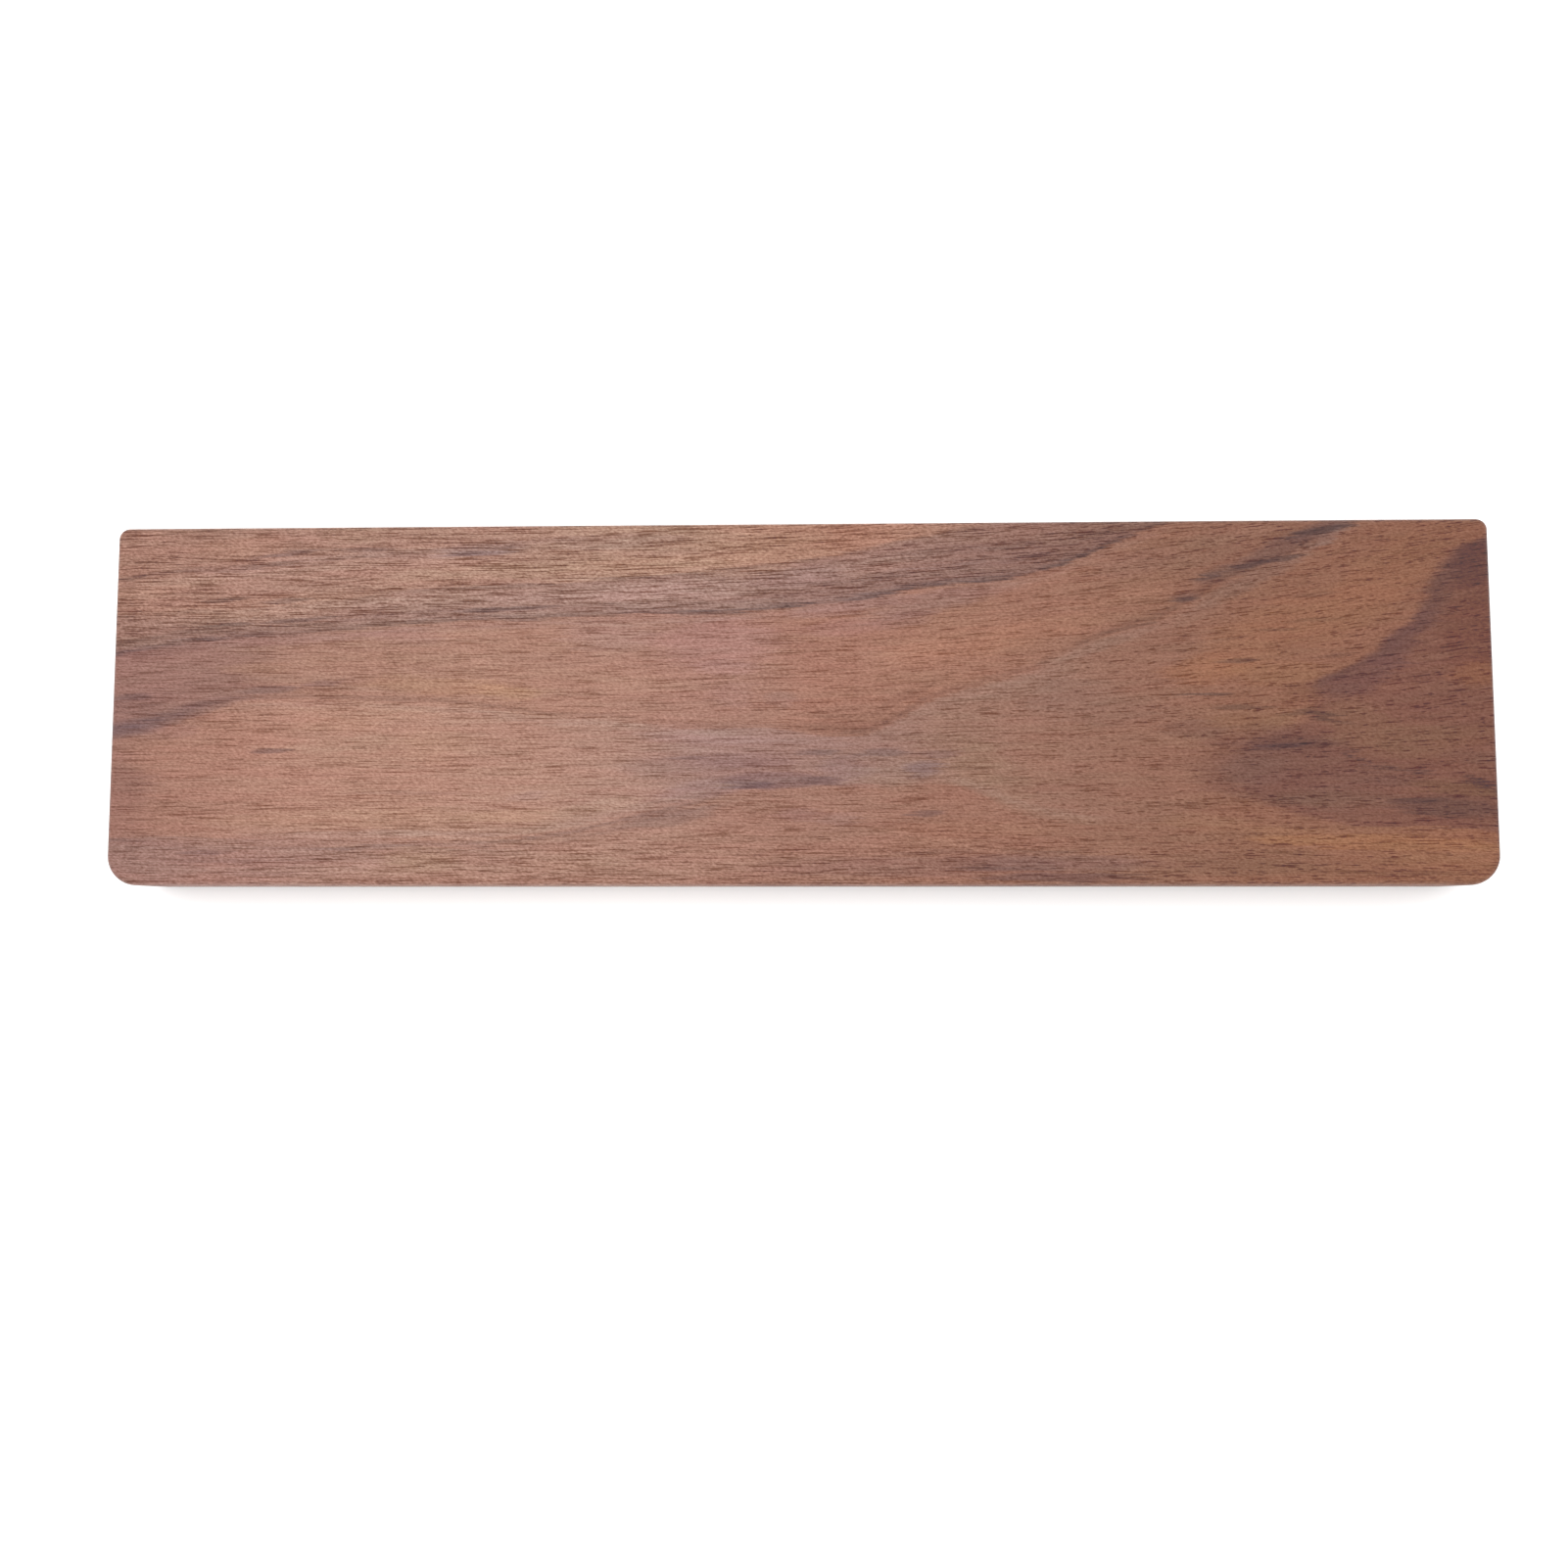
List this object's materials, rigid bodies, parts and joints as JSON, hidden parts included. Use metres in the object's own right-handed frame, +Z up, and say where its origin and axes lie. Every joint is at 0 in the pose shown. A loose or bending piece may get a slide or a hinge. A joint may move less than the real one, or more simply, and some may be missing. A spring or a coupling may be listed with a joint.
{
  "type": "wrist rest",
  "caption": "Solid walnut wrist rest for a compact keyboard: a long board with a gently sloping top, rounded edges and corners, on round rubber feet.",
  "frame": {"origin": "on the desk, under the middle of the board: the feet's faces are at Z = 0", "axes": "+X along the board to the user's right, +Y to the rear, towards the keyboard, +Z up"},
  "size_m": [0.3, 0.079, 0.0189],
  "materials": {
    "walnut": "oiled, satin to matt",
    "foot_rubber": "matt",
    "adhesive": "matt film"
  },
  "bodies": {
    "root": {"board": "walnut", "foot_front_left": "foot_rubber", "foot_front_middle": "foot_rubber", "foot_front_right": "foot_rubber", "foot_rear_left": "foot_rubber", "foot_rear_middle": "foot_rubber", "foot_rear_right": "foot_rubber", "pad_front_left": "adhesive", "pad_front_middle": "adhesive", "pad_front_right": "adhesive", "pad_rear_left": "adhesive", "pad_rear_middle": "adhesive", "pad_rear_right": "adhesive"}
  },
  "joints": []
}
